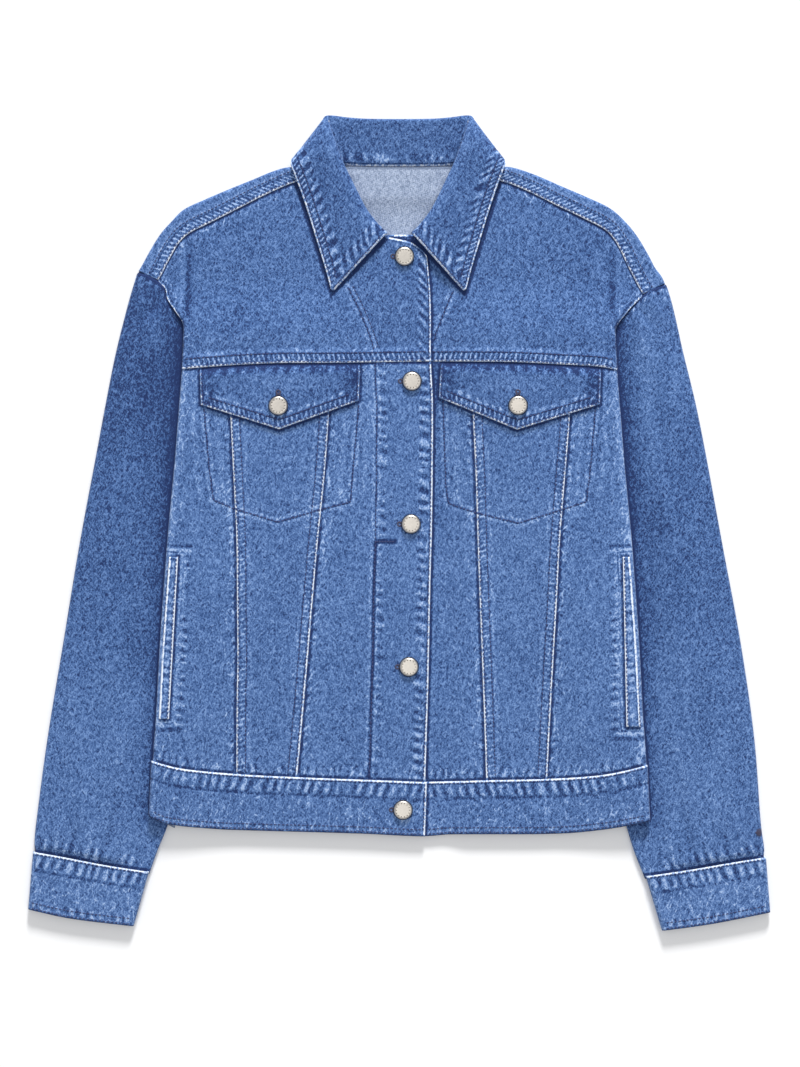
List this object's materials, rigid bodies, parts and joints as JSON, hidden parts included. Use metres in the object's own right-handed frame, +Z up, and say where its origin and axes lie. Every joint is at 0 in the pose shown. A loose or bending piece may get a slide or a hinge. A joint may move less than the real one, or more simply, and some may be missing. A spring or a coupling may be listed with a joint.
{
  "type": "denim jacket",
  "caption": "Denim jacket laid flat on its back and buttoned, with a point collar, pointed chest pocket flaps, hand pocket welts, a waistband and buttonless cuffs.",
  "frame": {"origin": "middle of the jacket's box, on the surface that it lies on", "axes": "+X to the wearer's left, +Y from the hem towards the collar, +Z up, out of the front of the jacket"},
  "size_m": [0.6842, 0.752, 0.0184],
  "materials": {
    "denim": "stone-washed mid blue twill, worn white on the edges",
    "denim_wrong_side": "pale grey-blue wrong side of the twill",
    "button_metal": "dull pewter-coloured metal"
  },
  "bodies": {
    "root": {"side_front_r": "denim", "side_front_l": "denim", "middle_front_r": "denim", "middle_front_l": "denim", "centre_front_r": "denim", "centre_front_l": "denim", "front_yoke_r": "denim", "front_yoke_l": "denim", "sleeve_upper_r": "denim", "sleeve_upper_l": "denim", "sleeve_under_r": "denim", "sleeve_under_l": "denim", "cuff_r": "denim", "cuff_l": "denim", "waistband_r": "denim", "waistband_l": "denim", "pocket_flap_r": "denim", "pocket_flap_l": "denim", "pocket_welt_r": "denim", "pocket_welt_l": "denim", "back_panel": "denim", "back_waistband": "denim", "back_yoke": "denim_wrong_side", "collar": "denim", "front_button_1": "button_metal", "front_button_2": "button_metal", "front_button_3": "button_metal", "front_button_4": "button_metal", "front_button_5": "button_metal", "flap_button_r": "button_metal", "flap_button_l": "button_metal"}
  },
  "joints": []
}
